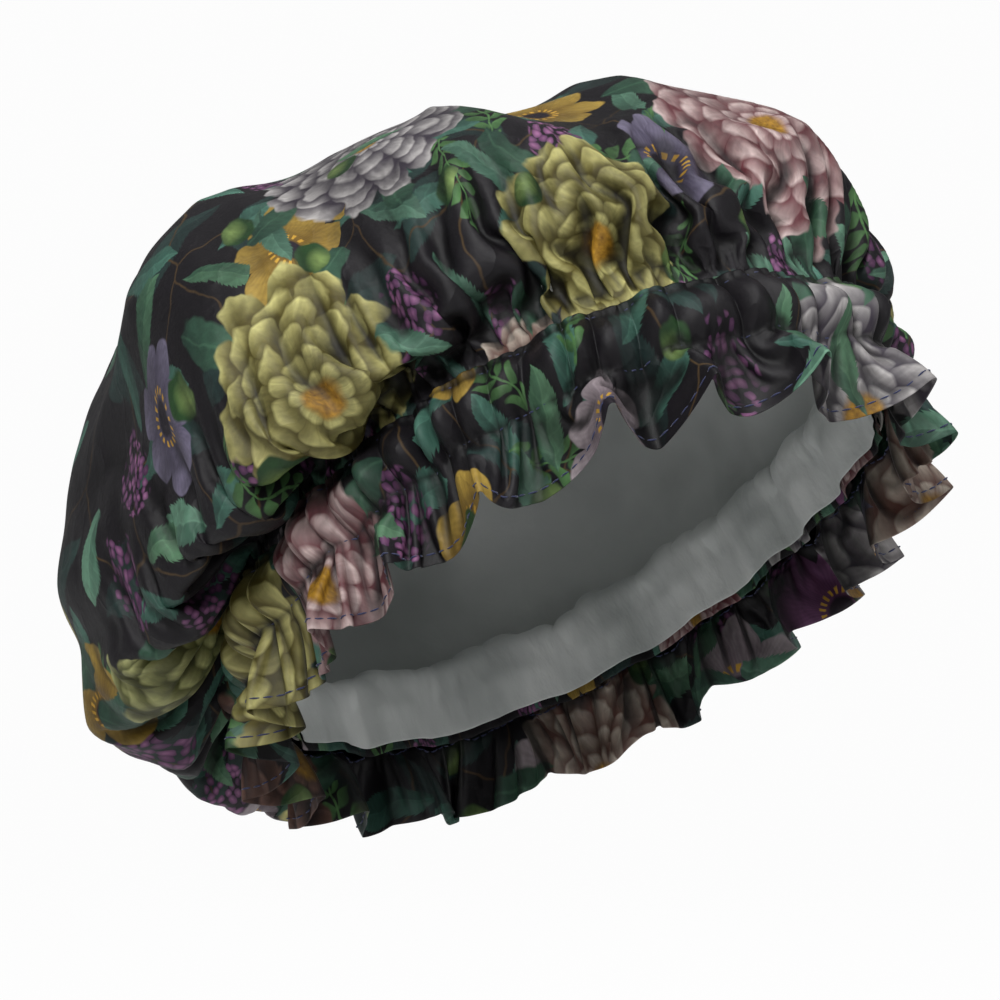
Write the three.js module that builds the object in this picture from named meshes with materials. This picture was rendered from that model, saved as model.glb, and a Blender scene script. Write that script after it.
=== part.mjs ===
import * as THREE from "three";

// A shower cap as it sits on a head, in millimetres: +Z is up and the front faces -Y.
// The origin is the centre of the head opening, in the middle of the elastic.

// The head opening is an ellipse in the plane of the elastic, and its front sits higher than its back.
const OPENING_HALF_WIDTH = 86;
const OPENING_HALF_LENGTH = 116;
const WORN_TILT = 34;

// The strip sewn round the crown's edge, measured down the cloth: lip, casing, frill.
const LIP = 2.5;
const CASING = 17;
const SEAM_EDGE = 1.6;
const FRILL = 24;
const HEM = 3.3;
const FRILL_FLARE = 6;

// The crown: front, side and back values of each size, taken from the opening's rim and its plane.
const BULGE = [8, 30, 44];
const WIDEST_AT = [43, 20, 22];
const SAG = [4, 30, 64];
const GATHER_RISE = 32;
const CROWN_HEIGHT = 136;
const APEX_BACK = 48;
const ROUND = [0.54, 0.74, 0.52];

// Folds: gathers that run up from the casing and into the frill, and broad folds over the crown.
const GATHERS = 20;
const CASING_WAVE = 1.8;
const FRILL_WAVE = 8.5;
const GATHER_WAVE = 10;
const GATHER_REACH = 0.42;
const BROAD_FOLDS = 7;
const BROAD_DEPTH = 5;
const BROAD_TWIST = 4;

// Cloth, film, elastic and thread.
const CLOTH = 0.5;
const FILM = 0.4;
const ELASTIC_WIDTH = 10;
const ELASTIC_THICK = 0.9;
const ELASTIC_LAP = 20;
const TACK_WIDTH = 3;
const TACK_LENGTH = 8;
const THREAD = 0.7;
const GAP = 0.35;

// Columns round the rim; they halve twice on the way to the apex.
const COLUMNS = 88;
const RAIL = 4;

const radians = THREE.MathUtils.degToRad;
const NEAR = CLOTH + GAP;
const FAR = NEAR + 2 * ELASTIC_THICK + THREAD + 4 * GAP;
const RIM_TOP = CASING / 2 + LIP;
const RIM_PER_RADIAN = (OPENING_HALF_WIDTH + OPENING_HALF_LENGTH) / 2;
const UPPER_SEAM = -LIP;
const CASING_MIDDLE = UPPER_SEAM - CASING / 2;
const LOWER_SEAM = UPPER_SEAM - CASING;
const CASING_FOOT = LOWER_SEAM - SEAM_EDGE;
const HEM_EDGE = LOWER_SEAM - FRILL;
const HEM_SEAM = HEM_EDGE + HEM;
const CHANNEL = ELASTIC_WIDTH / 2 + 2 * GAP;
const SEAM_CLEAR = 1.5 * GAP;
const HEM_CLEAR = 4 * GAP;

// The angle of a place u round the rim, so that equal steps of u are nearly equal lengths of rim.
function rimAngle(u) {
  const spread = OPENING_HALF_LENGTH - OPENING_HALF_WIDTH;
  const sum = OPENING_HALF_LENGTH + OPENING_HALF_WIDTH;
  return u - (spread / sum / 2) * Math.sin(2 * u);
}

// A size that changes from front to side to back.
function around([front, side, back], angle) {
  const b = Math.sin(angle);
  return side + (b > 0 ? back - side : front - side) * THREE.MathUtils.smoothstep(Math.abs(b), 0, 1);
}

function bezier(a, b, c, d, t) {
  const s = 1 - t;
  return s * s * s * a + 3 * s * s * t * b + 3 * s * t * t * c + t * t * t * d;
}

// The gathers' wave at u, from -1 to 1, a little uneven as sewn gathers are.
function gather(u) {
  return Math.cos(GATHERS * u + 0.9 * Math.sin(3 * u) + 0.6 * Math.sin(7 * u + 1));
}

// A point that stands out from the rim, at a height above the plane of the elastic.
function fromRim(angle, out, height) {
  return new THREE.Vector3(
    (OPENING_HALF_WIDTH + out) * Math.cos(angle),
    (OPENING_HALF_LENGTH + out) * Math.sin(angle),
    height,
  );
}

// The strip's line at v millimetres of cloth above its top edge (so v is below zero).
function stripPoint(u, v) {
  const below = Math.max(CASING_FOOT - v, 0);
  const share = below / (FRILL - SEAM_EDGE);
  const wave = CASING_WAVE + (FRILL_WAVE - CASING_WAVE) * share;
  const out = below * Math.sin(radians(FRILL_FLARE)) + wave * gather(u);
  const drop = below * Math.cos(radians(FRILL_FLARE));
  return fromRim(rimAngle(u), out, RIM_TOP + Math.max(v, CASING_FOOT) - drop);
}

// The crown's meridian: out and round the sagging edge, then up and over to the apex.
function meridian(angle, t) {
  const bulge = around(BULGE, angle);
  const widest = around(WIDEST_AT, angle);
  const sag = around(SAG, angle);
  const round = around(ROUND, angle);
  if (t < GATHER_REACH) {
    const s = t / GATHER_REACH;
    const rise = widest - RIM_TOP;
    return {
      out: bezier(0, 0, bulge * 0.9, bulge, s),
      height: bezier(RIM_TOP, RIM_TOP + GATHER_RISE, RIM_TOP + rise * 0.4 - sag, widest, s),
      closing: 0,
    };
  }
  const s = (t - GATHER_REACH) / (1 - GATHER_REACH);
  return {
    out: bulge,
    height: bezier(widest, widest + (CROWN_HEIGHT - widest) * round, CROWN_HEIGHT, CROWN_HEIGHT, s),
    closing: bezier(0, 0, 1 - round, 1, s),
  };
}

function crownBase(u, t) {
  const angle = rimAngle(u);
  const { out, height, closing } = meridian(angle, t);
  const point = fromRim(angle, out, height);
  const apex = new THREE.Vector3(0, APEX_BACK, height);
  return point.lerp(apex, closing);
}

function across(surface, u, v, back, ahead, stepU) {
  const du = surface(u + stepU, v).sub(surface(u - stepU, v));
  const dv = surface(u, v + ahead).sub(surface(u, v - back));
  return du.cross(dv).normalize();
}

// The crown's line at t from the casing to the apex, with its folds.
function crownPoint(u, t) {
  if (t > 0.995) return crownBase(u, 1);
  const rise = Math.min(t / GATHER_REACH, 1);
  const gathers = CASING_WAVE * (1 - rise) ** 3 + GATHER_WAVE * 6 * rise ** 2 * (1 - rise) ** 1.5;
  const broad = BROAD_DEPTH * Math.sin(Math.PI * t) ** 1.5;
  const depth = gathers * gather(u) + broad * Math.cos(BROAD_FOLDS * u + BROAD_TWIST * t);
  const normal = across(crownBase, u, t, Math.min(t, 0.01), 0.004, 0.02);
  return crownBase(u, t).addScaledVector(normal, depth);
}

// A place on the cloth, moved out along its normal: v is below zero on the strip and above zero on the crown.
function place(u, v, off) {
  if (v > 0.995) return crownPoint(u, 1).add(new THREE.Vector3(0, 0, off));
  const stepU = (2 * Math.PI) / COLUMNS;
  if (v > 0) {
    const normal = across(crownPoint, u, v, 0.01, 0.005, stepU);
    return crownPoint(u, v).addScaledVector(normal, off);
  }
  const normal = across(stripPoint, u, v, 0.5, 0, stepU);
  return stripPoint(u, v).addScaledVector(normal, off);
}

// Triangles between two closed rows of points, the lower first; the upper has as many points, half or one.
function joinRows(triangles, low, high) {
  const n = low.length;
  const m = high.length;
  for (let i = 0; i < n; i++) {
    const a = low[i];
    const b = low[(i + 1) % n];
    const c = high[Math.floor((i * m) / n) % m];
    const d = high[Math.floor(((i + 1) * m) / n) % m];
    triangles.push([a, b, c]);
    if (c !== d) triangles.push([b, d, c]);
  }
}

// One closed mesh from triangles of points.
function solid(name, triangles, colour, roughness) {
  const positions = triangles.flatMap((triangle) => triangle.flatMap((p) => p.toArray()));
  const geometry = new THREE.BufferGeometry();
  geometry.setAttribute("position", new THREE.Float32BufferAttribute(positions, 3));
  geometry.computeVertexNormals();
  const material = new THREE.MeshStandardMaterial({ color: colour, roughness, metalness: 0 });
  const mesh = new THREE.Mesh(geometry, material);
  mesh.name = name;
  return mesh;
}

// A sheet round the rim: rows from bottom to top, each with its height v, columns and offset from the line.
function sheet(name, rows, thick, colour, roughness) {
  const ring = (row, side) =>
    Array.from({ length: row.columns }, (_, i) => {
      const u = (2 * Math.PI * i) / row.columns;
      return place(u, row.v, row.off(u) + side * thick(u));
    });
  const outer = rows.map((row) => ring(row, 0.5));
  const inner = rows.map((row) => ring(row, -0.5));
  const triangles = [];
  const inside = [];
  for (let j = 1; j < rows.length; j++) {
    joinRows(triangles, outer[j - 1], outer[j]);
    joinRows(inside, inner[j - 1], inner[j]);
  }
  inside.forEach(([a, b, c]) => triangles.push([a, c, b]));
  joinRows(triangles, inner[0], outer[0]);
  const top = rows.length - 1;
  if (rows[top].columns > 1) joinRows(triangles, outer[top], inner[top]);
  return solid(name, triangles, colour, roughness);
}

const even = (size) => () => size;
const row = (v, off, columns = COLUMNS) => ({ v, columns, off: even(off) });

// The rows of the crown, which the lining shares: up the casing, through the gathers and over to the apex.
function crownRows(off) {
  const up = [CASING_FOOT, 0, 0.06, 0.16, 0.29].map((v) => row(v, off));
  const over = [0.42, 0.54, 0.66].map((v) => row(v, off, COLUMNS / 2));
  const top = [0.78, 0.9].map((v) => row(v, off, COLUMNS / 4));
  return [...up, ...over, ...top, row(1, off, 1)];
}

// How far the strip stands off the crown's line: tight at its seams, and wide over the elastic.
function stripOff(v) {
  const fromMiddle = Math.abs(v - CASING_MIDDLE);
  const seam = CASING / 2;
  const share = THREE.MathUtils.clamp((seam - fromMiddle) / (seam - CHANNEL), 0, 1);
  return NEAR + (FAR - NEAR) * share;
}

function stripRows() {
  const low = CASING_MIDDLE - CHANNEL;
  const high = CASING_MIDDLE + CHANNEL;
  return [HEM_EDGE, CASING_FOOT, LOWER_SEAM, low, high, UPPER_SEAM, 0].map((v) => row(v, stripOff(v)));
}

// A row of thread round the strip, lying on its outer face.
function seam(name, v, clear, colour) {
  const radius = THREAD / 2;
  const lift = stripOff(v) + CLOTH / 2 + clear + radius;
  const rings = Array.from({ length: COLUMNS }, (_, i) => {
    const u = (2 * Math.PI * i) / COLUMNS;
    const at = place(u, v, lift);
    const out = place(u, v, lift + 1).sub(at);
    const along = place(u + 0.01, v, lift).sub(at).normalize();
    const up = along.clone().cross(out).normalize();
    return Array.from({ length: RAIL }, (_, k) => {
      const turn = (2 * Math.PI * k) / RAIL;
      const point = at.clone().addScaledVector(out, radius * Math.cos(turn));
      return point.addScaledVector(up, radius * Math.sin(turn));
    });
  });
  const triangles = [];
  rings.forEach((ring, i) => joinRows(triangles, ring, rings[(i + 1) % COLUMNS]));
  return solid(name, triangles, colour, 0.6);
}

// A bar of close stitches across the elastic's lap at the centre back.
function tack(name, lift, colour) {
  const back = Math.PI / 2;
  const half = TACK_WIDTH / 2 / RIM_PER_RADIAN;
  const rings = [-0.5, 0, 0.5].map((end) => {
    const v = CASING_MIDDLE + end * TACK_LENGTH;
    const corner = (side, off) => place(back + side * half, v, lift + off * THREAD);
    return [corner(-1, 0.5), corner(1, 0.5), corner(1, -0.5), corner(-1, -0.5)];
  });
  const triangles = [];
  for (let i = 1; i < rings.length; i++) joinRows(triangles, rings[i - 1], rings[i]);
  const [a, b, c, d] = rings[0];
  const [e, f, g, h] = rings[rings.length - 1];
  triangles.push([a, c, b], [a, d, c], [e, f, g], [e, g, h]);
  return solid(name, triangles, colour, 0.6);
}

const CHARCOAL = 0x1b191c;
const MILKY = 0xd6d9d8;
const WHITE = 0xe6e3dc;
const NAVY = 0x1d2b5c;

const lapped = (u) => Math.abs(u - Math.PI / 2) * RIM_PER_RADIAN < ELASTIC_LAP / 2;
const elasticThick = (u) => ELASTIC_THICK * (lapped(u) ? 2 : 1);
const elasticOff = (u) => CLOTH / 2 + GAP + elasticThick(u) / 2;
const elasticRows = [-1, 1].map((side) => ({
  v: CASING_MIDDLE + (side * ELASTIC_WIDTH) / 2,
  columns: COLUMNS,
  off: elasticOff,
}));
const tackLift = CLOTH / 2 + GAP + 2 * ELASTIC_THICK + GAP + THREAD / 2;

const cap = new THREE.Group();
cap.name = "shower_cap";
const worn = new THREE.Group();
worn.rotation.x = -radians(WORN_TILT);
cap.add(worn);
worn.add(
  sheet("crown_panel", crownRows(0), even(CLOTH), CHARCOAL, 0.45),
  sheet("crown_lining", crownRows(-CLOTH / 2 - GAP - FILM / 2), even(FILM), MILKY, 0.35),
  sheet("frill_band", stripRows(), even(CLOTH), CHARCOAL, 0.45),
  sheet("elastic_band", elasticRows, elasticThick, WHITE, 0.8),
  seam("upper_casing_seam", UPPER_SEAM, SEAM_CLEAR, NAVY),
  seam("lower_casing_seam", LOWER_SEAM, SEAM_CLEAR, NAVY),
  seam("hem_seam", HEM_SEAM, HEM_CLEAR, NAVY),
  tack("elastic_join", tackLift, WHITE),
);

export default cap;
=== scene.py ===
"""A gathered cloth shower cap as worn: printed crown, film lining, elastic casing and ruffled frill."""
import math

import bpy
import numpy as np
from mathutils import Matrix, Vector


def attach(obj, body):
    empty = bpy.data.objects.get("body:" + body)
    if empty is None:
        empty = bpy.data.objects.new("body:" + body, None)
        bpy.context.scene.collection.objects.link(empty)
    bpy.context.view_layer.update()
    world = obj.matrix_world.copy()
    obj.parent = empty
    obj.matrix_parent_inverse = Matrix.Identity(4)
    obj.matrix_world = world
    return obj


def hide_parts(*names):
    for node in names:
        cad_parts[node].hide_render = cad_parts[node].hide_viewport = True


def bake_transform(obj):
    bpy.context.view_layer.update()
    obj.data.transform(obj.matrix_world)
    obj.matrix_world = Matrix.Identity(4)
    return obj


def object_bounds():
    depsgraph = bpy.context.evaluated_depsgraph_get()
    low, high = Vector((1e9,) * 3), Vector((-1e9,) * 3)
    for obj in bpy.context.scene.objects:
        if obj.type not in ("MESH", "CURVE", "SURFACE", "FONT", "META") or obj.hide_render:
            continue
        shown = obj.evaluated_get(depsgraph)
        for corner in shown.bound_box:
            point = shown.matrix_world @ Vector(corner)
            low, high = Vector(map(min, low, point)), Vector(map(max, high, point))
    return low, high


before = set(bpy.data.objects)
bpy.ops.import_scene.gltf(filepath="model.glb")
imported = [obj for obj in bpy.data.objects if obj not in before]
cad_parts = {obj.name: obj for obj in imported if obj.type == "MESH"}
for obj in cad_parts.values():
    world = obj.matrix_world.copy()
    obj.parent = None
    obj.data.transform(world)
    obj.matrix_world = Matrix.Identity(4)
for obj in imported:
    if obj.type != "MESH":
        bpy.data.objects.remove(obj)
CAD_BOX = [list(corner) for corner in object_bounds()]

MM = 0.001

# The head opening, in the plane of the elastic, and the strip round it, as in the CAD model.
HALF_WIDTH = 86 * MM
HALF_LENGTH = 116 * MM
WORN_TILT = math.radians(34)
LIP = 2.5 * MM
CASING = 17 * MM
SEAM_EDGE = 1.6 * MM
FRILL = 24 * MM
HEM = 3.3 * MM
FRILL_FLARE = math.radians(6)

# The crown's form: front, side and back values of each size.
BULGE = (8 * MM, 30 * MM, 44 * MM)
WIDEST_AT = (43 * MM, 20 * MM, 22 * MM)
SAG = (4 * MM, 30 * MM, 64 * MM)
GATHER_RISE = 32 * MM
CROWN_HEIGHT = 136 * MM
APEX_BACK = 48 * MM
ROUND = (0.54, 0.74, 0.52)
GATHER_REACH = 0.42

# The strip as it was cut, and how thick each material is. The crown is cut as an oval, as long as its form
# from rim to apex on every side.
STRIP_LENGTH = 1.10
THREAD = 0.5 * MM
CLOTH = 0.35 * MM
FILM = 0.25 * MM
ELASTIC_WIDTH = 10 * MM
ELASTIC_THICK = 0.9 * MM
ELASTIC_LAP = 20 * MM

# The main folds, as in the CAD model but deeper in the frill.
GATHERS = 20
CASING_WAVE = 1.8 * MM
FRILL_WAVE = 11.5 * MM
GATHER_WAVE = 10 * MM
BROAD_FOLDS = 7
BROAD_DEPTH = 5 * MM
BROAD_TWIST = 4

# Fine puckers that the cloth starts from before it settles.
PUCKERS = 62
PUCKER_DEPTH = 6.2 * MM
PUCKER_RUN = 13 * MM
PUCKER_LEAN = 2.4
PLEATS = 149
PLEAT_DEPTH = 0.9 * MM
PLEAT_RUN = 4 * MM
CROWN_PUCKERS = 64
CROWN_PUCKER_DEPTH = 3.6 * MM
CROWN_PUCKER_REACH = 0.30
CROWN_LEAVES_RIM = 0.05
RUN_PUCKER = 1.4 * MM

# The frill's ruffles: drawn to points, swung to one side, lifted at the front and rippled.
FRILL_POINT = 0.028
FRILL_SWING = 0.02
FRILL_LIFT = 3.5 * MM
FRILL_RIPPLE = 2.2 * MM
FRILL_DROP = 0.55
EDGE_RIPPLE = 0.7 * MM

# The strip's upper edge above the elastic's plane, and heights on the strip measured from that edge.
RIM_TOP = CASING / 2 + LIP
UPPER_SEAM = -LIP
LOWER_SEAM = UPPER_SEAM - CASING
CASING_MIDDLE = UPPER_SEAM - CASING / 2
CASING_FOOT = LOWER_SEAM - SEAM_EDGE
HEM_EDGE = LOWER_SEAM - FRILL
HEM_SEAM = HEM_EDGE + HEM

# Mesh steps.
STRIP_COLUMNS = 1152
CROWN_COLUMNS = 512
CROWN_STEP = 3.6 * MM
STITCH_COLUMNS = 4
RUN_ROWS = 8
APEX_POINTS = 8

# The photograph's camera, in the record's frame.
VIEW_AZIMUTH = math.radians(-37)
VIEW_ELEVATION = math.radians(3)
VIEW_DISTANCE = 1.4
FRAME_WIDTH = 0.290
AIM_RIGHT = -17.7 * MM
AIM_UP = 8.7 * MM
SENSOR = 36


# Forms in the band frame: the elastic's plane is z = 0 and the front faces -y.


def rim_angle(u):
    spread = (HALF_LENGTH - HALF_WIDTH) / (HALF_LENGTH + HALF_WIDTH)
    return u - spread / 2 * np.sin(2 * u)


def around(values, angle):
    """A size that changes from front to side to back."""
    front, side, back = values
    along = np.sin(angle)
    share = np.abs(along)
    share = share * share * (3 - 2 * share)
    return side + np.where(along > 0, back - side, front - side) * share


def bezier(a, b, c, d, t):
    s = 1 - t
    return s**3 * a + 3 * s * s * t * b + 3 * s * t * t * c + t**3 * d


def gather_phase(u):
    """The main gathers are a little uneven, as sewn gathers are."""
    return GATHERS * u + 0.9 * np.sin(3 * u) + 0.6 * np.sin(7 * u + 1)


def gather(u):
    return np.cos(gather_phase(u))


def crisp(phase, sharp):
    """A wave between -1 and 1 with flat sides and folded crests: a sine at sharp 0, a zigzag at sharp 1."""
    return np.arcsin(sharp * np.cos(phase)) / np.arcsin(sharp)


def pucker(u, count, lean=0.0):
    """Fine puckers of uneven width, from 0 to 1, round on top and with sharp valleys between them."""
    phase = count * u + 2.1 * np.sin(5 * u) + 1.3 * np.sin(13 * u + 2) + 0.7 * np.sin(29 * u) + lean
    return np.abs(np.cos(phase / 2)) ** 0.9


def from_rim(u, out, height):
    angle = rim_angle(u)
    x = (HALF_WIDTH + out) * np.cos(angle)
    y = (HALF_LENGTH + out) * np.sin(angle)
    return np.stack(np.broadcast_arrays(x, y, height), -1)


def crown_form(u, t):
    """The crown without folds, from the casing at t = 0 to the apex at t = 1."""
    angle = rim_angle(u)
    bulge = around(BULGE, angle)
    widest = around(WIDEST_AT, angle)
    sag = around(SAG, angle)
    fullness = around(ROUND, angle)
    low = np.clip(t / GATHER_REACH, 0, 1)
    out = bezier(0, 0, bulge * 0.9, bulge, low)
    turn = RIM_TOP + (widest - RIM_TOP) * 0.4 - sag
    rising = bezier(RIM_TOP, RIM_TOP + GATHER_RISE, turn, widest, low)
    over = np.clip((t - GATHER_REACH) / (1 - GATHER_REACH), 0, 1)
    top = widest + (CROWN_HEIGHT - widest) * fullness
    height = np.where(t > GATHER_REACH, bezier(widest, top, CROWN_HEIGHT, CROWN_HEIGHT, over), rising)
    closing = bezier(0, 0, 1 - fullness, 1, over)
    x = (HALF_WIDTH + out) * np.cos(angle) * (1 - closing)
    y = (HALF_LENGTH + out) * np.sin(angle) * (1 - closing) + APEX_BACK * closing
    return np.stack(np.broadcast_arrays(x, y, height), -1)


def to_world(points):
    x, y, z = np.moveaxis(np.asarray(points), -1, 0)
    cos, sin = math.cos(WORN_TILT), math.sin(WORN_TILT)
    return np.stack([x, y * cos + z * sin, z * cos - y * sin], -1)


# Meshes of closed rows, and cloth that settles to the lengths it was cut to.


def ring_faces(counts, pole=False):
    """Faces between closed rows of points, each as long as the row before it or half as long."""
    starts = np.concatenate([[0], np.cumsum(counts)])
    faces = []
    for k in range(len(counts) - 1):
        a, n = int(starts[k]), counts[k]
        b, m = int(starts[k + 1]), counts[k + 1]
        for i in range(n):
            j = (i + 1) % n
            if n == m:
                faces.append((a + i, a + j, b + j, b + i))
            elif i % 2 == 0:
                faces.append((a + i, a + j, b + i // 2))
            else:
                faces.append((a + i, a + j, b + (i + 1) // 2 % m, b + i // 2))
    if pole:
        a, n = int(starts[-2]), counts[-1]
        faces += [(a + i, a + (i + 1) % n, int(starts[-1])) for i in range(n)]
    return faces


def pairs_of(faces, counts):
    """Pairs of points that keep their distance: edges, diagonals, and points two apart along a row."""
    edges, diagonals, bends = set(), set(), set()
    for face in faces:
        for a, b in zip(face, face[1:] + face[:1]):
            edges.add((min(a, b), max(a, b)))
        if len(face) == 4:
            diagonals.update({tuple(sorted(face[0::2])), tuple(sorted(face[1::2]))})
    starts = np.concatenate([[0], np.cumsum(counts)])
    for k, n in enumerate(counts):
        a = int(starts[k])
        if n >= 16:
            bends.update(tuple(sorted((a + i, a + (i + 2) % n))) for i in range(n))
        if k + 2 < len(counts) and counts[k + 2] == n:
            b = int(starts[k + 2])
            bends.update((a + i, b + i) for i in range(n))
    return edges, diagonals, bends


def apart(pairs):
    """Sorts pairs into groups in which no point comes twice."""
    used = {}
    groups = []
    for a, b in sorted(pairs):
        free = ~(used.get(a, 0) | used.get(b, 0))
        bit = free & -free
        used[a] = used.get(a, 0) | bit
        used[b] = used.get(b, 0) | bit
        group = bit.bit_length() - 1
        while len(groups) <= group:
            groups.append([])
        groups[group].append((a, b))
    return [np.array(group) for group in groups]


def normals_of(points, triangles):
    a, b, c = (points[triangles[:, k]] for k in range(3))
    across = np.cross(b - a, c - a)
    total = np.zeros_like(points)
    for k in range(3):
        for axis in range(3):
            total[:, axis] += np.bincount(triangles[:, k], across[:, axis], len(points))
    return total / (np.linalg.norm(total, axis=1, keepdims=True) + 1e-15)


def triangles_of(faces):
    return np.array([face[:3] for face in faces] + [(f[0], f[2], f[3]) for f in faces if len(f) == 4])


STEP_TIME = 0.004
SHEAR = 0.35
DRAG = 0.97
TOP_SPEED = 1.0
ROUNDS = 3
SWELL_STEPS = 40
TINY = 1e-12


def settle(start, faces, counts, rest, play, steps, bend, weight, swell, keep_out=None):
    """Lets cloth settle from start to the lengths that rest(pairs) gives, drifting no further than play."""
    edges, diagonals, bends = pairs_of(faces, counts)
    free = (play > 0).astype(float)
    bonds = []
    for pairs, stiffness in ((edges, 1.0), (diagonals, SHEAR), (bends, bend)):
        for group in apart(pairs):
            i, j = group[:, 0], group[:, 1]
            pull = stiffness / (free[i] + free[j] + 1e-9)
            bonds.append((i, j, rest(group), free[i] * pull, free[j] * pull))
    triangles = triangles_of(faces)
    down = np.array([0, math.sin(WORN_TILT), -math.cos(WORN_TILT)])
    points = start.copy()
    speed = np.zeros_like(points)
    limit = play[:, None]
    for step in range(steps):
        push = weight * down + swell * min(1, step / SWELL_STEPS) * normals_of(points, triangles)
        moved = points + STEP_TIME * (speed + STEP_TIME * push) * free[:, None]
        for _ in range(ROUNDS):
            for i, j, length, pull_i, pull_j in bonds:
                gap = moved[j] - moved[i]
                now = np.sqrt(np.einsum("ij,ij->i", gap, gap)) + TINY
                gap *= ((now - length) / now)[:, None]
                moved[i] += pull_i[:, None] * gap
                moved[j] -= pull_j[:, None] * gap
        drift = moved - start
        far = np.linalg.norm(drift, axis=1, keepdims=True) + TINY
        moved = np.where(far > limit, start + drift * (limit + far) / 2 / far, moved)
        moved = np.where(limit > 0, moved, start)
        if keep_out:
            keep_out(moved)
        speed = (moved - points) / STEP_TIME * DRAG
        fast = np.linalg.norm(speed, axis=1, keepdims=True)
        speed *= np.minimum(1, TOP_SPEED / (fast + TINY))
        points = moved
    return points


# The strip: lip, casing and frill.

CASING_ROWS = np.linspace(UPPER_SEAM, LOWER_SEAM, 9)
FRILL_ROWS = np.linspace(LOWER_SEAM, HEM_SEAM, 11)[1:]
HEM_ROWS = np.linspace(HEM_SEAM, HEM_EDGE, 3)[1:]
STRIP_ROWS = np.concatenate([[0], CASING_ROWS, FRILL_ROWS, HEM_ROWS])[::-1]
STRIP_NEAR = 0.9 * MM
STRIP_FAR = 4.4 * MM


def strip_start(u, v):
    """The strip before it settles: puckered between its seams, and waving below them."""
    below = np.maximum(CASING_FOOT - v, 0)
    share = below / (FRILL - SEAM_EDGE)
    middle = 1 - np.clip(np.abs(v - CASING_MIDDLE) / (CASING / 2), 0, 1) ** 2
    stand = STRIP_NEAR + (STRIP_FAR - STRIP_NEAR) * middle
    uneven = 0.8 + 0.2 * np.cos(11 * u + 2 * np.sin(3 * u))
    lean = PUCKER_LEAN * np.sin(4 * u + 1) * np.clip((v - CASING_MIDDLE) / CASING, -0.6, 0.6)
    fine = PUCKER_DEPTH * uneven * (0.4 + 0.8 * middle) * pucker(u, PUCKERS, lean)
    fine = fine * np.exp(-below / PUCKER_RUN)
    fine = fine + PLEAT_DEPTH * (1 - middle) * pucker(u, PLEATS) * np.exp(-below / PLEAT_RUN)
    deep = FRILL_WAVE * (1 + 0.2 * np.sin(3 * u + 1) + 0.15 * np.sin(8 * u))
    phase = gather_phase(u)
    turn = crisp(phase, 0.5 + 0.48 * share)
    front = np.clip(0.55 - 0.6 * np.sin(u), 0, 1)
    spread = (deep - CASING_WAVE) * share**0.6 * turn + below * math.sin(FRILL_FLARE)
    rippled = FRILL_RIPPLE * crisp(2 * phase + np.sin(4 * u), 0.9)
    spread = spread + share * (FRILL_LIFT * front + rippled)
    drop = np.sqrt(np.maximum(below**2 - spread**2, (FRILL_DROP * below) ** 2))
    out = stand + fine + CASING_WAVE * turn + spread
    ripple = EDGE_RIPPLE * np.sin(37 * u + 2 * np.sin(4 * u)) * (v < 0)
    height = RIM_TOP + np.maximum(v, CASING_FOOT) - drop + ripple
    folded = u - FRILL_POINT * share * np.sin(phase) + FRILL_SWING * share * turn
    return from_rim(folded, out, height)


def strip_rest(pairs, flat, ease):
    """Lengths on the flat strip, eased where the seams already hold the cloth in puckers."""
    i, j = pairs[:, 0], pairs[:, 1]
    across = np.abs(flat[i] - flat[j])
    along = np.minimum(across[:, 0], STRIP_LENGTH - across[:, 0])
    return np.hypot(along * (ease[i] + ease[j]) / 2, across[:, 1])


STRIP_STEPS = 90
STRIP_BEND = 0.1
STRIP_WEIGHT = 1.0
STRIP_SWELL = 0.0
STRIP_PLAY = 4 * MM


def strip_cloth():
    """Points, flat places and faces of the strip."""
    u = np.arange(STRIP_COLUMNS) * 2 * np.pi / STRIP_COLUMNS
    counts = [STRIP_COLUMNS] * len(STRIP_ROWS)
    rows = [strip_start(u, v) for v in STRIP_ROWS]
    start = np.concatenate(rows)
    along = u / (2 * np.pi) * STRIP_LENGTH
    flat = np.concatenate([np.stack([along, np.full_like(along, v)], -1) for v in STRIP_ROWS])
    faces = ring_faces(counts)
    below = np.maximum(LOWER_SEAM - flat[:, 1], 0)
    play = np.clip(below / FRILL, 0, 1) ** 0.7 * STRIP_PLAY
    held = [np.linalg.norm(np.roll(row, -1, 0) - row, axis=1).sum() / STRIP_LENGTH for row in rows]
    ease = np.repeat(held, STRIP_COLUMNS)
    ease += (1 - ease) * np.clip(below / FRILL, 0, 1)

    def rest(pairs):
        return strip_rest(pairs, flat, ease)

    forces = (STRIP_BEND, STRIP_WEIGHT, STRIP_SWELL)
    points = settle(start, faces, counts, rest, play, STRIP_STEPS, *forces)
    return points, flat, faces


# The crown: a disc gathered into the casing, with a short run behind the strip.


def crown_lines(u, steps=120):
    """The form's meridians at u: their places t, and the length of each up to there."""
    t = np.linspace(0, 1, steps)
    lines = crown_form(u[:, None], t[None, :])
    lengths = np.cumsum(np.linalg.norm(np.diff(lines, axis=1), axis=2), axis=1)
    return t, np.concatenate([np.zeros((len(u), 1)), lengths], axis=1)


MEAN_LINE = 240 * MM
CROWN_ROWS = int(MEAN_LINE / CROWN_STEP)


def crown_rings():
    """Share of the way up and number of points of each row, from the rim towards the apex."""
    rings = []
    count = CROWN_COLUMNS
    for row in range(CROWN_ROWS):
        up = row / CROWN_ROWS
        while count > APEX_POINTS and 2 * np.pi * MEAN_LINE * (1 - up) / count < 0.6 * CROWN_STEP:
            count //= 2
        rings.append((up, count))
    return rings


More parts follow.
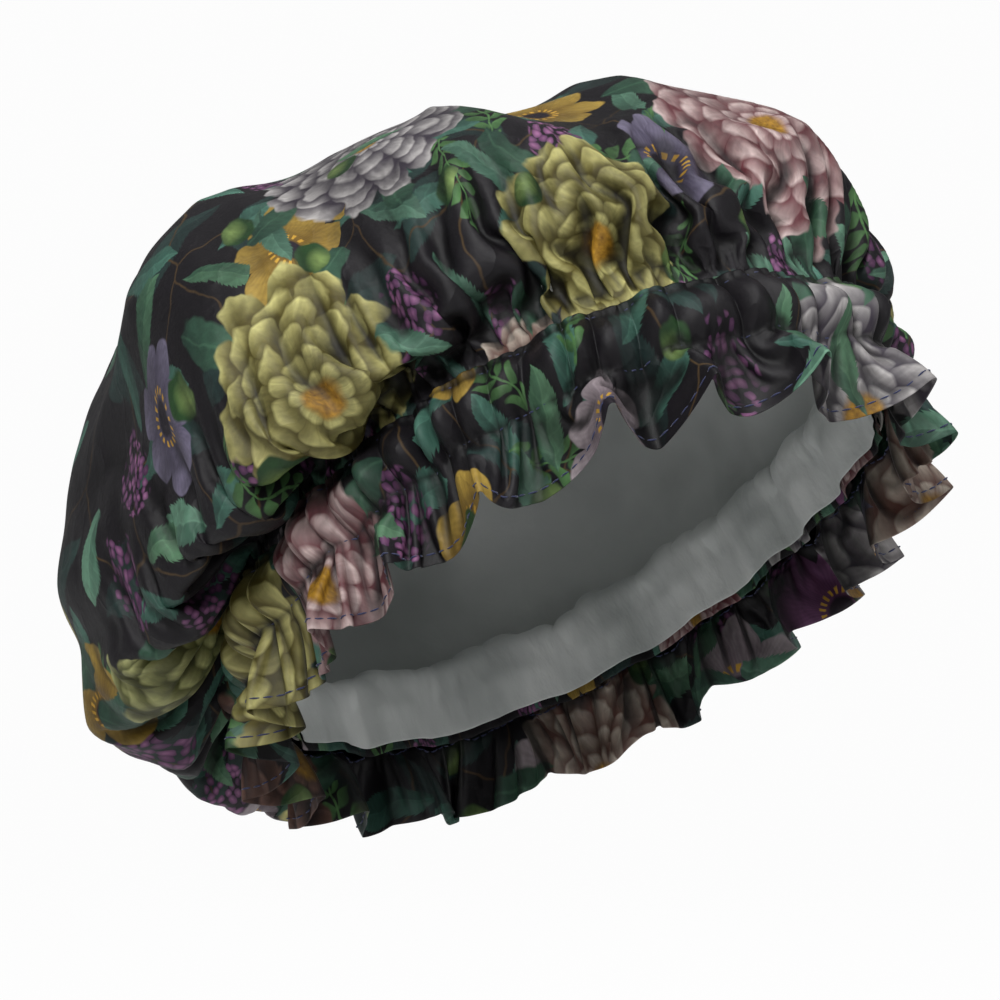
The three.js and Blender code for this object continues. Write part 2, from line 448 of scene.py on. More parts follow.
def crown_fold(u, t):
    """How far the main folds stand out of the crown's form."""
    rise = np.minimum(t / GATHER_REACH, 1)
    gathers = CASING_WAVE * (1 - rise) ** 3 + GATHER_WAVE * 6 * rise**2 * (1 - rise) ** 1.5
    broad = BROAD_DEPTH * np.sin(np.pi * t) ** 1.5
    return gathers * gather(u) + broad * np.cos(BROAD_FOLDS * u + BROAD_TWIST * t)


CREASE_DEPTH = 4.2 * MM
CREASE_PATCH = 170 * MM
CREASE_RISE = 0.4
CREASE_LEVEL = 0.4
# Direction in degrees, distance apart and shift of each set.
CREASES = ((20, 92 * MM, 0.3), (78, 120 * MM, 2.1), (128, 84 * MM, 4.0), (160, 140 * MM, 1.2))


def creases(flat, t):
    """Crisp creases of stiff cloth, here and there over the crown."""
    x, y = flat[:, 0], flat[:, 1]
    total = 0
    for direction, apart_by, shift in CREASES:
        turn = math.radians(direction)
        across = x * math.cos(turn) + y * math.sin(turn)
        along = y * math.cos(turn) - x * math.sin(turn)
        phase = np.pi * across / apart_by + 0.9 * np.sin(2 * np.pi * along / CREASE_PATCH + shift) + shift
        ridge = 1 - np.abs(np.sin(phase)) ** 0.6
        here = np.clip(np.sin(2 * np.pi * (along + 0.4 * across) / CREASE_PATCH + 3 * shift) + 0.35, 0, 1)
        total = total + ridge * here
    return CREASE_DEPTH * np.sin(np.pi / 2 * np.clip(t / CREASE_RISE, 0, 1)) * (total - CREASE_LEVEL)


SWAG_DEPTH = 6.5 * MM
SWAGS = 3.2
SWAG_REACH = 0.6


def swags(u, t):
    """Folds that hang one under the other round the sagging sides and back."""
    back = np.clip(0.6 * np.sin(rim_angle(u)) + 0.5, 0, 1)
    here = np.sin(np.pi * np.clip(t / SWAG_REACH, 0, 1)) ** 1.2
    turns = SWAGS * t / GATHER_REACH + 0.3 * np.cos(2 * u) + 0.16 * np.sin(5 * u + 1)
    return SWAG_DEPTH * back * here * crisp(2 * np.pi * turns, 0.95)


def crown_row(up, count):
    """One row of the crown: its form with folds, and its places on the flat cloth."""
    u = np.arange(count) * 2 * np.pi / count
    t, lengths = crown_lines(u)
    whole = lengths[:, -1:]
    at = np.array([np.interp(up, line, t) for line in lengths / whole])
    plain = crown_form(u, at)
    step = 1e-3
    along = crown_form(u + step, at) - crown_form(u - step, at)
    rising = crown_form(u, np.minimum(at + step, 1)) - crown_form(u, np.maximum(at - step, 0))
    out = np.cross(along, rising)
    out /= np.linalg.norm(out, axis=1, keepdims=True) + TINY
    leaving = min(up / CROWN_LEAVES_RIM, 1)
    shown = leaving * max(0, 1 - up / CROWN_PUCKER_REACH)
    fine = pucker(u, CROWN_PUCKERS)
    fine = CROWN_PUCKER_DEPTH * shown * (2 * fine - 1) - RUN_PUCKER * (1 - leaving) * fine
    flat = (1 - up) * whole * np.stack([np.cos(u), np.sin(u)], -1)
    folds = crown_fold(u, at) + creases(flat, at) + swags(u, at)
    folded = plain + out * (folds + fine)[:, None]
    return folded, flat


OVERHANG = 19 * MM
OVERHANG_FROM = RIM_TOP + 2 * MM
OVERHANG_RUN = 16 * MM


def keep_off_strip(points):
    """The sagging cloth hangs outside the strip and its frill."""
    below = np.clip((OVERHANG_FROM - points[:, 2]) / OVERHANG_RUN, 0, 1)
    stand = OVERHANG * below
    reach = np.hypot(points[:, 0] / (HALF_WIDTH + stand), points[:, 1] / (HALF_LENGTH + stand))
    inside = (below > 0) & (reach < 1)
    points[inside, :2] /= reach[inside, None]


SLACK = 1.01
CROWN_WEIGHT = 0.9
CROWN_SWELL = 0.5
CROWN_STEPS = 80
CROWN_BEND = 0.03
CROWN_PLAY = 7 * MM
HELD_BELOW = 0.1
GATHERED_BELOW = 0.06
SMOOTH_ABOVE = 0.36


def crown_cloth():
    """Points, flat places, faces and row lengths of the crown."""
    rings = crown_rings()
    counts = [count for _, count in rings]
    start, flat = (np.concatenate(rows) for rows in zip(*(crown_row(*ring) for ring in rings)))
    middle = np.zeros((1, 2))
    apex = crown_form(np.zeros(1), np.ones(1)) + [0, 0, float(creases(middle, 1)[0])]
    start = np.concatenate([start, apex])
    flat = np.concatenate([flat, middle])
    faces = ring_faces(counts, pole=True)
    up = np.concatenate([np.full(count, share) for share, count in rings] + [[1]])
    play = np.clip(up / HELD_BELOW, 0, 1) * CROWN_PLAY

    def rest(pairs):
        i, j = pairs[:, 0], pairs[:, 1]
        cut = np.linalg.norm(flat[i] - flat[j], axis=1)
        formed = SLACK * np.linalg.norm(start[i] - start[j], axis=1)
        share = np.clip((up[i] - GATHERED_BELOW) / (SMOOTH_ABOVE - GATHERED_BELOW), 0, 1)
        return cut + (formed - cut) * share * share * (3 - 2 * share)

    forces = (CROWN_BEND, CROWN_WEIGHT, CROWN_SWELL)
    points = settle(start, faces, counts, rest, play, CROWN_STEPS, *forces, keep_off_strip)
    return points, flat, faces, counts


def with_run(points, flat, faces, counts):
    """Adds the crown's run behind the strip, from its rim down to the casing's foot."""
    rows = np.linspace(0, CASING_FOOT, RUN_ROWS + 1)[1:][::-1]
    u = np.arange(counts[0]) * 2 * np.pi / counts[0]
    out = CASING_WAVE * gather(u) - RUN_PUCKER * pucker(u, CROWN_PUCKERS)
    extra = [from_rim(u, out, RIM_TOP + v) for v in rows]
    beyond = [flat[: counts[0]] * (1 - v / MEAN_LINE) for v in rows]
    count = len(rows) * counts[0]
    moved = [tuple(i + count for i in face) for face in faces]
    below = ring_faces([counts[0]] * (len(rows) + 1))
    return np.concatenate(extra + [points]), np.concatenate(beyond + [flat]), below + moved


# Objects.


def mesh_object(name, points, faces, flat=None, wrap=None, fold=None):
    """A mesh piece in the record's frame, with its places on flat cloth as UV map and its folds' depth,
    which drives painted shade in the folds.
    """
    mesh = bpy.data.meshes.new(name)
    mesh.from_pydata(to_world(points).tolist(), [], faces)
    mesh.update()
    mesh.polygons.foreach_set("use_smooth", [True] * len(mesh.polygons))
    if flat is not None:
        corners = [flat[list(face)] for face in faces]
        if wrap:
            corners = [
                np.where((c.max(0) - c > wrap / 2) & [True, False], c + [wrap, 0], c)
                for c in corners
            ]
        layer = mesh.uv_layers.new(name="flat")
        layer.data.foreach_set("uv", np.concatenate(corners).ravel())
    if fold is not None:
        mesh.attributes.new("fold", "FLOAT", "POINT").data.foreach_set("value", fold)
    piece = bpy.data.objects.new(name, mesh)
    bpy.context.scene.collection.objects.link(piece)
    return piece


def thicken(piece, thick, offset):
    shell = piece.modifiers.new("thick", "SOLIDIFY")
    shell.thickness = thick
    shell.offset = offset


def smooth(piece):
    fine = piece.modifiers.new("smooth", "SUBSURF")
    fine.levels = 1
    fine.render_levels = 1


def tubes(paths, radius, sides=6):
    """Points and faces of capped tubes along short paths."""
    points, faces = [], []
    for path in paths:
        path = np.asarray(path)
        along = np.gradient(path, axis=0)
        along /= np.linalg.norm(along, axis=1, keepdims=True) + TINY
        side = np.cross(along, [0.31, 0.17, 0.94])
        side /= np.linalg.norm(side, axis=1, keepdims=True) + TINY
        other = np.cross(along, side)
        base = len(points)
        last = len(path) - 1
        for k, point in enumerate(path):
            size = radius * (0.6 if k in (0, last) else 1)
            for s in range(sides):
                turn = 2 * math.pi * s / sides
                points.append(point + size * (math.cos(turn) * side[k] + math.sin(turn) * other[k]))
        for k in range(last):
            for s in range(sides):
                a, b = base + k * sides + s, base + k * sides + (s + 1) % sides
                faces.append((a, b, b + sides, a + sides))
        faces.append(tuple(base + s for s in reversed(range(sides))))
        faces.append(tuple(base + last * sides + s for s in range(sides)))
    return np.array(points), faces


STITCH_PROUD = 0.25
STITCH_SINK = 0.4


def stitch_row(name, strip, normals, v):
    """A row of dashes of thread along the strip at v."""
    row = int(np.argmin(np.abs(STRIP_ROWS - v)))
    where = np.arange(STRIP_COLUMNS) + row * STRIP_COLUMNS
    line = strip[where] + normals[where] * (CLOTH + STITCH_PROUD * THREAD)
    paths = []
    for i in range(0, STRIP_COLUMNS, STITCH_COLUMNS):
        dash = line[[(i + k) % STRIP_COLUMNS for k in range(STITCH_COLUMNS)]].copy()
        sink = normals[where[[i, (i + STITCH_COLUMNS - 1) % STRIP_COLUMNS]]] * STITCH_SINK * THREAD
        dash[0] -= sink[0]
        dash[-1] -= sink[1]
        paths.append(dash)
    return mesh_object(name, *tubes(paths, THREAD / 2))


ELASTIC_RIBS = 9
ELASTIC_COLUMNS = 352
ELASTIC_OFF = 1.0 * MM
RIB_DEPTH = 0.18 * ELASTIC_THICK


def elastic_loop():
    """The ribbed elastic, its ends lapped at the centre back."""
    overlap = ELASTIC_LAP / (HALF_WIDTH + HALF_LENGTH)
    u = np.linspace(math.pi / 2 - 2 * math.pi - overlap, math.pi / 2 + overlap, ELASTIC_COLUMNS)
    lap = np.clip((u - (math.pi / 2 - overlap * 1.3)) / (overlap * 0.3), 0, 1)
    across = np.linspace(-0.5, 0.5, 4 * ELASTIC_RIBS + 1)
    rib = RIB_DEPTH * np.cos(across * 2 * math.pi * ELASTIC_RIBS)
    outline = [(a, ELASTIC_THICK / 2 - RIB_DEPTH + r) for a, r in zip(across, rib)]
    outline += [(a, -h) for a, h in reversed(outline)]
    points = []
    for place, layer in zip(u, lap):
        lift = ELASTIC_OFF + CASING_WAVE * gather(place) + ELASTIC_THICK * (0.5 + 1.05 * layer)
        for a, h in outline:
            points.append(from_rim(place, lift + h, RIM_TOP + CASING_MIDDLE + a * ELASTIC_WIDTH))
    n = len(outline)
    faces = []
    for k in range(ELASTIC_COLUMNS - 1):
        for s in range(n):
            a, b = k * n + s, k * n + (s + 1) % n
            faces.append((a, a + n, b + n, b))
    faces.append(tuple(range(n)))
    faces.append(tuple((ELASTIC_COLUMNS - 1) * n + s for s in reversed(range(n))))
    return mesh_object("elastic_loop", np.array(points), faces)


TACK_LENGTH = 8 * MM
TACK_WIDTH = 3 * MM
TACK_PASSES = 16
TACK_THREAD = 0.3 * MM


def bar_tack():
    """Close zigzag stitches across the elastic's lap."""
    back = math.pi / 2
    lift = ELASTIC_OFF + CASING_WAVE * gather(back) + 2.1 * ELASTIC_THICK + 0.3 * THREAD
    path = []
    for k in range(2 * TACK_PASSES + 1):
        side = (k % 2 - 0.5) * TACK_WIDTH / HALF_WIDTH * 0.9
        height = RIM_TOP + CASING_MIDDLE + (k / (2 * TACK_PASSES) - 0.5) * TACK_LENGTH
        path.append(from_rim(np.array(back + side), lift, height))
    return mesh_object("bar_tack", *tubes([np.array(path)], TACK_THREAD))


LINING_GAP = 0.9 * MM
LINING_CUT = 0.95
LINING_IRONING = 8


def neighbours_of(faces):
    """Each edge of the faces, both ways round."""
    pairs = np.array(sorted({tuple(sorted(e)) for f in faces for e in zip(f, f[1:] + f[:1])}))
    return np.concatenate([pairs, pairs[:, ::-1]])


def ironed(points, faces, rounds):
    """The cloth with its folds smoothed away, its normals there, and how far the folds stand out of it."""
    both = neighbours_of(faces)
    near = np.bincount(both[:, 0], minlength=len(points))
    even = points.copy()
    for _ in range(rounds):
        for axis in range(3):
            total = np.bincount(both[:, 0], even[both[:, 1], axis], len(points))
            even[:, axis] = 0.5 * even[:, axis] + 0.5 * total / near
    out = normals_of(even, triangles_of(faces))
    return even, out, np.einsum("ij,ij->i", points - even, out)


# Fold depth, kept on the cloth as its fold attribute, sets painted shade at the bottom of the folds.
FOLD_SCALE = 1.6 * MM
STRIP_IRONING = 60
CROWN_IRONING = 10


def fold_of(points, faces, rounds):
    """-1 at the bottom of folds and 1 on their crests."""
    return np.clip(ironed(points, faces, rounds)[2] / FOLD_SCALE, -1, 1)


def inside_of(points, faces):
    """A film that lies inside the cloth: smoother than it, and no further out than its deepest folds."""
    both = neighbours_of(faces)
    even, out, depth = ironed(points, faces, LINING_IRONING)
    for _ in range(2):
        lowest = depth.copy()
        np.minimum.at(lowest, both[:, 0], depth[both[:, 1]])
        depth = lowest
    return even + out * (np.minimum(depth, 0) - LINING_GAP)[:, None]


def cut_of(edge):
    """Width, length and area of a cut from the places of its edge."""
    after = np.roll(edge, -1, 0)
    area = np.sum(edge[:, 0] * after[:, 1] - edge[:, 1] * after[:, 0]) / 2
    return tuple(float(side) for side in np.ptp(edge, axis=0)), float(area)


# Materials: values worked out over the cloth by shader nodes.


class Field:
    """A value or colour over a surface, made by shader nodes."""

    def __init__(self, tree, socket):
        self.tree = tree
        self.socket = socket

    def math(self, kind, *others, clamp=False):
        node = self.tree.nodes.new("ShaderNodeMath")
        node.operation = kind
        node.use_clamp = clamp
        for slot, value in zip(node.inputs, (self, *others)):
            feed(self.tree, slot, value)
        return Field(self.tree, node.outputs[0])

    def __add__(self, other):
        return self.math("ADD", other)

    def __sub__(self, other):
        return self.math("SUBTRACT", other)

    def __mul__(self, other):
        return self.math("MULTIPLY", other)

    def __truediv__(self, other):
        return self.math("DIVIDE", other)

    def __pow__(self, other):
        return self.math("POWER", other)

    __radd__ = __add__
    __rmul__ = __mul__

    def __rsub__(self, other):
        return (self * -1) + other

    def sin(self):
        return self.math("SINE")

    def cos(self):
        return self.math("COSINE")

    def abs(self):
        return self.math("ABSOLUTE")

    def fraction(self):
        return self.math("FRACT")

    def clamped(self):
        return self.math("ADD", 0.0, clamp=True)

    def below(self, edge, soft):
        """1 where the value is under edge, 0 above it, with a soft step."""
        return ((edge - self) / soft).math("ADD", 0.5, clamp=True)


def feed(tree, slot, value):
    if isinstance(value, Field):
        tree.links.new(value.socket, slot)
    elif isinstance(value, tuple) and len(value) == 3 and slot.type == "RGBA":
        slot.default_value = (*value, 1)
    else:
        slot.default_value = value


def node_of(tree, kind, settings, inputs):
    node = tree.nodes.new(kind)
    for name, value in settings.items():
        setattr(node, name, value)
    for name, value in inputs.items():
        feed(tree, node.inputs[name], value)
    return node


def mix(under, over, mask):
    """The colour under, covered by the colour over where mask is 1."""
    tree = mask.tree
    node = tree.nodes.new("ShaderNodeMix")
    node.data_type = "RGBA"
    feed(tree, node.inputs[0], mask)
    feed(tree, node.inputs[6], under)
    feed(tree, node.inputs[7], over)
    return Field(tree, node.outputs[2])


def linear(red, green, blue):
    """A colour given as 0 to 255 display values, in linear light."""
    shares = [c / 255 for c in (red, green, blue)]
    return tuple(c / 12.92 if c < 0.0405 else ((c + 0.055) / 1.055) ** 2.4 for c in shares)


def noise(tree, vector, scale, detail=2.0, output=0):
    settings = {"noise_dimensions": "2D"}
    inputs = {"Vector": vector, "Scale": scale, "Detail": detail}
    node = node_of(tree, "ShaderNodeTexNoise", settings, inputs)
    return Field(tree, node.outputs[output])


def vector_of(tree, x, y):
    return Field(tree, node_of(tree, "ShaderNodeCombineXYZ", {}, {"X": x, "Y": y}).outputs[0])


def parts_of(field):
    node = node_of(field.tree, "ShaderNodeSeparateXYZ", {}, {"Vector": field})
    return [Field(field.tree, socket) for socket in node.outputs]


class Motif:
    """Scattered places for one motif: local coordinates in units of size, and three random numbers each."""

    def __init__(self, x, y, size, seed, jitter):
        tree = x.tree
        self.x, self.y = x + seed * 0.37, y + seed * 0.53
        settings = {"voronoi_dimensions": "2D", "feature": "F1"}
        inputs = {"Vector": vector_of(tree, self.x, self.y), "Scale": 1 / size, "Randomness": jitter}
        node = node_of(tree, "ShaderNodeTexVoronoi", settings, inputs)
        middle = parts_of(Field(tree, node.outputs["Position"]))
        self.one, self.two, self.three = parts_of(Field(tree, node.outputs["Color"]))
        self.tree = tree
        left, up = (self.x - middle[0]) / size, (self.y - middle[1]) / size
        turn = self.one * (2 * math.pi)
        self.x = left * turn.cos() + up * turn.sin()
        self.y = up * turn.cos() - left * turn.sin()
        self.radius = (left * left + up * up) ** 0.5
        self.angle = self.y.math("ARCTAN2", self.x)


def leaf(spot, length, width, teeth):
    """A pointed leaf along the local x axis: where it is, and its shade."""
    along = spot.x / length
    outline = (1 - along * along) * (1 + 0.35 * along) * width
    saw = ((spot.x - 0.7 * spot.y.abs()) * teeth).fraction()
    outline = outline * (0.88 + 0.16 * saw)
    cover = spot.y.abs().below(outline, 0.008)
    rib = spot.y.abs().below(0.006, 0.008)
    vein = (((spot.x - 0.8 * spot.y.abs()) * 46).sin()).math("GREATER_THAN", 0.86)
    half = spot.y.below(0.0, 0.01)
    shade = 0.45 + 0.3 * half + 0.25 * rib + 0.12 * vein + 0.2 * along
    return cover, shade


def leaves(ground, x, y, size, seed, dark, light, share, length=0.42, width=0.13):
    spot = Motif(x, y, size, seed, 0.8)
    cover, shade = leaf(spot, length, width, 24)
    shown = spot.two.below(share, 0.001)
    return mix(ground, mix(dark, light, (shade * (0.6 + 0.6 * spot.three)).clamped()), cover * shown)


def sprigs(ground, x, y, size, seed, dark, light, share):
    """Stems with pairs of slanting leaflets."""
    spot = Motif(x, y, size, seed, 0.7)
    bend = spot.y - 0.25 * spot.x * spot.x
    step = 0.11
    away = bend.abs()
    pitch = ((spot.x - 0.7 * away) / step).fraction() - 0.5
    reach = 0.17 * (1 - (spot.x / 0.46) * (spot.x / 0.46)).clamped() + 0.001
    width = 0.40 * (away / reach * math.pi).math("MINIMUM", math.pi).sin()
    leaflet = pitch.abs().below(width, 0.1) * away.below(reach, 0.01)
    stem = away.below(0.008, 0.006) * spot.x.abs().below(0.46, 0.01)
    shown = spot.two.below(share, 0.001)
    shade = (0.35 + 0.6 * (pitch + 0.5) + 0.3 * stem).clamped()
    return mix(ground, mix(dark, light, shade), leaflet.math("MAXIMUM", stem) * shown)


def choose(number, options):
    """One of several colours, by a random number from 0 to 1."""
    colour = options[0]
    for k in range(1, len(options)):
        colour = mix(colour, options[k], 1 - number.below(k / len(options), 0.001))
    return colour


def rosettes(ground, x, y, size, seed, share, palette):
    """Round blooms of rings of petals that get smaller towards a golden heart."""
    spot = Motif(x, y, size, seed, 0.45)
    light = choose(spot.three, [colours[0] for colours in palette])
    deep = choose(spot.three, [colours[1] for colours in palette])
    shown = spot.two.below(share, 0.001)
    streak = noise(spot.tree, vector_of(spot.tree, spot.angle * 9, spot.radius * 5), 1.0)
    wobble = noise(spot.tree, vector_of(spot.tree, spot.x, spot.y), 7.0)
    radius = spot.radius * (0.84 + 0.32 * wobble)
    fifth = ((spot.angle * (5 / (2 * math.pi))).fraction() - 0.5) * (2 * math.pi / 5) * radius
    along = (radius - 0.42) / 0.13
    sepal = fifth.abs().below((1 - along * along) * 0.065, 0.01) * shown
    vein = fifth.abs().below(0.004, 0.006)
    green = mix(linear(20, 46, 40), linear(74, 112, 88), (0.5 - 0.35 * along + 0.3 * vein).clamped())
    colour = mix(ground, green, sepal)
    for ring in range(6):
        outer = 0.41 * (1 - 0.155 * ring)
        inner = 0.41 * (1 - 0.155 * (ring + 1.35))
        petals = 13 - ring
        scallop = (spot.angle * (petals / 2) + 1.3 * ring).cos().abs() ** 0.5
        cover = radius.below(outer * (0.80 + 0.20 * scallop), 0.012)
        rise = ((radius - inner) / (outer - inner)).clamped()
        shade = (rise ** 1.5 * (0.2 + 0.8 * scallop) * (0.55 + 0.8 * streak)).clamped()
        colour = mix(colour, mix(deep, light, shade), cover * shown)
    heart = radius.below(0.06, 0.02) * shown
    grain = noise(spot.tree, vector_of(spot.tree, spot.x, spot.y), 60.0)
    return mix(colour, mix(linear(96, 62, 20), linear(205, 155, 50), grain), heart)


def anemones(ground, x, y, size, seed, share, palette):
    """Open flowers of rounded petals round a dark eye with a ring of dots."""
    spot = Motif(x, y, size, seed, 0.6)
    light = choose(spot.three, [colours[0] for colours in palette])
    deep = choose(spot.three, [colours[1] for colours in palette])
    shown = spot.two.below(share, 0.001)
    lobe = (spot.angle * 3.5).cos().abs()
    outline = 0.24 + 0.10 * lobe ** 0.6
    cover = spot.radius.below(outline, 0.012) * shown
    lines = 0.5 + 0.5 * (spot.angle * 63).sin()
    shade = (spot.radius / outline * (0.45 + 0.55 * lobe) + 0.12 * lines).clamped()
    colour = mix(ground, mix(deep, light, shade), cover)
    eye = spot.radius.below(0.07, 0.015) * shown
    colour = mix(colour, linear(34, 28, 38), eye)
    ring = (spot.radius - 0.105).abs().below(0.018, 0.008)
    dots = (spot.angle * 17).cos().math("GREATER_THAN", 0.2) * ring
    return mix(colour, linear(206, 160, 60), dots * shown)


def florets(ground, x, y, size, seed, share, light, deep):
    """Round clusters of tiny four-petalled florets."""
    spot = Motif(x, y, size, seed, 0.8)
    tiny = Motif(x, y, 3.4 * MM, seed + 3, 0.6)
    near = spot.radius.below(0.30 * (0.8 + 0.4 * tiny.two), 0.02) * spot.two.below(share, 0.001)
    petals = tiny.radius.below(0.42 + 0.08 * (tiny.angle * 2).cos().abs(), 0.06)
    shade = ((1 - 1.8 * tiny.radius) * (0.3 + 1.1 * tiny.three)).clamped()
    return mix(ground, mix(deep, light, shade), petals * near)


def berries(ground, x, y, size, seed, share, light, deep):
    spot = Motif(x, y, size, seed, 0.9)
    cover = spot.radius.below(0.24, 0.03) * spot.two.below(share, 0.001)
    gleam = ((spot.x - 0.07) * (spot.x - 0.07) + (spot.y - 0.07) * (spot.y - 0.07)) ** 0.5
    return mix(ground, mix(light, deep, (gleam * 4.2).clamped()), cover)


def stems(ground, x, y, size, seed, colour):
    tree = x.tree
    settings = {"voronoi_dimensions": "2D", "feature": "DISTANCE_TO_EDGE"}
    inputs = {"Vector": vector_of(tree, x + seed, y + seed), "Scale": 1 / size, "Randomness": 1.0}
    edge = Field(tree, node_of(tree, "ShaderNodeTexVoronoi", settings, inputs).outputs["Distance"])
    return mix(ground, colour, edge.below(0.007, 0.008))


BLOOMS = [
    (linear(204, 206, 140), linear(68, 70, 28)),
    (linear(200, 196, 194), linear(60, 54, 64)),
    (linear(224, 202, 198), linear(104, 54, 60)),
    (linear(124, 92, 80), linear(34, 22, 22)),
    (linear(220, 208, 192), linear(102, 66, 58)),
    (linear(208, 202, 132), linear(80, 72, 28)),
]
SMALL_BLOOMS = [
    (linear(136, 88, 128), linear(50, 24, 54)),
    (linear(118, 112, 134), linear(44, 38, 58)),
    (linear(170, 142, 66), linear(84, 56, 18)),
    (linear(172, 160, 164), linear(78, 60, 74)),
]
GROUND = linear(17, 15, 18)
PRINT_WARP = 16 * MM


def floral(x, y):
    """A generic floral print on charcoal, in flat metres of cloth."""
    tree = x.tree
    place = vector_of(tree, x, y)
    warp = parts_of(noise(tree, place, 30.0, 3.0, 1))
    x, y = x + (warp[0] - 0.5) * PRINT_WARP, y + (warp[1] - 0.5) * PRINT_WARP
    shade = noise(tree, place, 60.0, 3.0)
    colour = mix(GROUND, linear(28, 25, 30), shade)
    colour = leaves(colour, x, y, 46 * MM, 1.0, linear(20, 28, 30), linear(44, 66, 62), 0.9, 0.46, 0.17)
    colour = stems(colour, x, y, 52 * MM, 2.0, linear(74, 58, 38))
    colour = leaves(colour, x, y, 40 * MM, 3.0, linear(20, 46, 42), linear(82, 126, 110), 0.85)
    colour = sprigs(colour, x, y, 52 * MM, 4.0, linear(28, 54, 36), linear(88, 130, 78), 0.5)
    colour = florets(colour, x, y, 40 * MM, 5.0, 0.35, linear(158, 104, 146), linear(64, 34, 68))
    colour = anemones(colour, x, y, 66 * MM, 6.0, 0.4, SMALL_BLOOMS)
    colour = leaves(colour, x, y, 46 * MM, 7.0, linear(24, 56, 48), linear(104, 146, 122), 0.5)
    colour = rosettes(colour, x, y, 106 * MM, 8.0, 0.62, BLOOMS)
    colour = leaves(colour, x, y, 40 * MM, 9.0, linear(26, 62, 50), linear(96, 136, 104), 0.2)
    colour = berries(colour, x, y, 30 * MM, 10.0, 0.12, linear(128, 152, 88), linear(40, 70, 38))
    dusk = noise(tree, place, 24.0, 2.0).below(0.5, 0.3)
    stroke = noise(tree, vector_of(tree, x * 2, y), 240.0, 3.0).below(0.48, 0.3)
    return mix(colour, GROUND, 0.34 * dusk + 0.18 * stroke)


def shader(name):
    material = bpy.data.materials.new(name)
    material.use_nodes = True
    return material, material.node_tree, material.node_tree.nodes["Principled BSDF"]


def bump(tree, surface, height, strength, distance):
    inputs = {"Height": height, "Strength": strength, "Distance": distance}
    node = node_of(tree, "ShaderNodeBump", {}, inputs)
    tree.links.new(node.outputs["Normal"], surface.inputs["Normal"])


YARN = 0.45 * MM
FOLD_SHADE = 0.9
FILM_SCATTER = 4 * MM
CLOTH_BUMP = 0.9 * MM
FILM_BUMP = 0.8 * MM
YARN_BUMP = 0.3 * MM


def printed_cloth():
    """Satin with the print, and painted shade that darkens it at the bottom of its folds."""
    material, tree, surface = shader("printed_cloth")
    flat = Field(tree, node_of(tree, "ShaderNodeUVMap", {"uv_map": "flat"}, {}).outputs[0])
    x, y, _ = parts_of(flat)
    fold = Field(tree, node_of(tree, "ShaderNodeAttribute", {"attribute_name": "fold"}, {}).outputs["Fac"])
    # Painted shade: the colour goes towards near black at the bottom of the folds.
    valley_painted_shade = (fold * -FOLD_SHADE).clamped()
    feed(tree, surface.inputs["Base Color"], mix(floral(x, y), linear(9, 8, 10), valley_painted_shade))
    slub = noise(tree, vector_of(tree, x * 3, y), 420.0, 3.0)
    feed(tree, surface.inputs["Roughness"], 0.4 + 0.18 * slub)
    surface.inputs["Specular IOR Level"].default_value = 0.26
    weave = (x * (2 * math.pi / YARN)).sin() * (y * (2 * math.pi / YARN)).sin()
    crease = (1 - (noise(tree, flat, 34.0, 3.0) - 0.5).abs() * 2) ** 8
    lump = noise(tree, flat, 85.0, 4.0)
    bump(tree, surface, weave * 0.05 + lump + crease * 0.8 + slub * 0.1, 0.45, CLOTH_BUMP)
    return material


def film():
    """Milky frosted film."""
    material, tree, surface = shader("frosted_film")
    flat = Field(tree, node_of(tree, "ShaderNodeUVMap", {"uv_map": "flat"}, {}).outputs[0])
    cloud = noise(tree, flat, 40.0, 4.0)
    milky = mix(linear(204, 207, 206), linear(222, 224, 222), cloud)
    blotch = noise(tree, flat, 17.0, 3.0).below(0.5, 0.25)
    feed(tree, surface.inputs["Base Color"], mix(milky, linear(150, 156, 154), 0.5 * blotch))
    feed(tree, surface.inputs["Roughness"], 0.28 + 0.2 * cloud)
    surface.inputs["Subsurface Weight"].default_value = 0.15
    surface.inputs["Subsurface Radius"].default_value = (FILM_SCATTER,) * 3
    crinkle = noise(tree, flat, 160.0, 5.0)
    bump(tree, surface, crinkle + cloud, 0.4, FILM_BUMP)
    return material


def yarn(name, dark, light, grain, rough):
    """Twisted or woven thread."""
    material, tree, surface = shader(name)
    place = Field(tree, node_of(tree, "ShaderNodeTexCoord", {}, {}).outputs["Object"])
    node = node_of(tree, "ShaderNodeTexNoise", {}, {"Vector": place, "Scale": grain, "Detail": 3.0})
    fibre = Field(tree, node.outputs[0])
    feed(tree, surface.inputs["Base Color"], mix(dark, light, fibre))
    surface.inputs["Roughness"].default_value = rough
    surface.inputs["Sheen Weight"].default_value = 0.3
    bump(tree, surface, fibre, 0.5, YARN_BUMP)
    return material


STRETCH_END = 0.9


def finish_piece(piece, node, material):
    """Dresses a soft piece that stands for a CAD node."""
    piece.data.materials.append(material)
    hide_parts(node)
    front = to_world(np.array([0, -HALF_LENGTH, 0]))
    back = to_world(np.array([0, STRETCH_END * HALF_LENGTH, 0]))
    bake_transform(piece)


# The camera, before anything else is made.

aim_back = Vector((
    math.sin(VIEW_AZIMUTH) * math.cos(VIEW_ELEVATION),
    -math.cos(VIEW_AZIMUTH) * math.cos(VIEW_ELEVATION),
    math.sin(VIEW_ELEVATION),
))
aim_right = Vector((math.cos(VIEW_AZIMUTH), math.sin(VIEW_AZIMUTH), 0))
aim = aim_right * AIM_RIGHT + aim_back.cross(aim_right) * AIM_UP
lens = bpy.data.cameras.new("camera")
lens.sensor_width = SENSOR
lens.lens = SENSOR * VIEW_DISTANCE / FRAME_WIDTH
camera = bpy.data.objects.new("camera", lens)
camera.location = aim + aim_back * VIEW_DISTANCE
camera.rotation_euler = aim_back.to_track_quat("Z", "Y").to_euler()
bpy.context.scene.collection.objects.link(camera)
bpy.context.scene.camera = camera

# Cloth pieces. The strip is cut from another part of the print than the crown.

STRIP_PRINT_SHIFT = [1.7, 0.9]

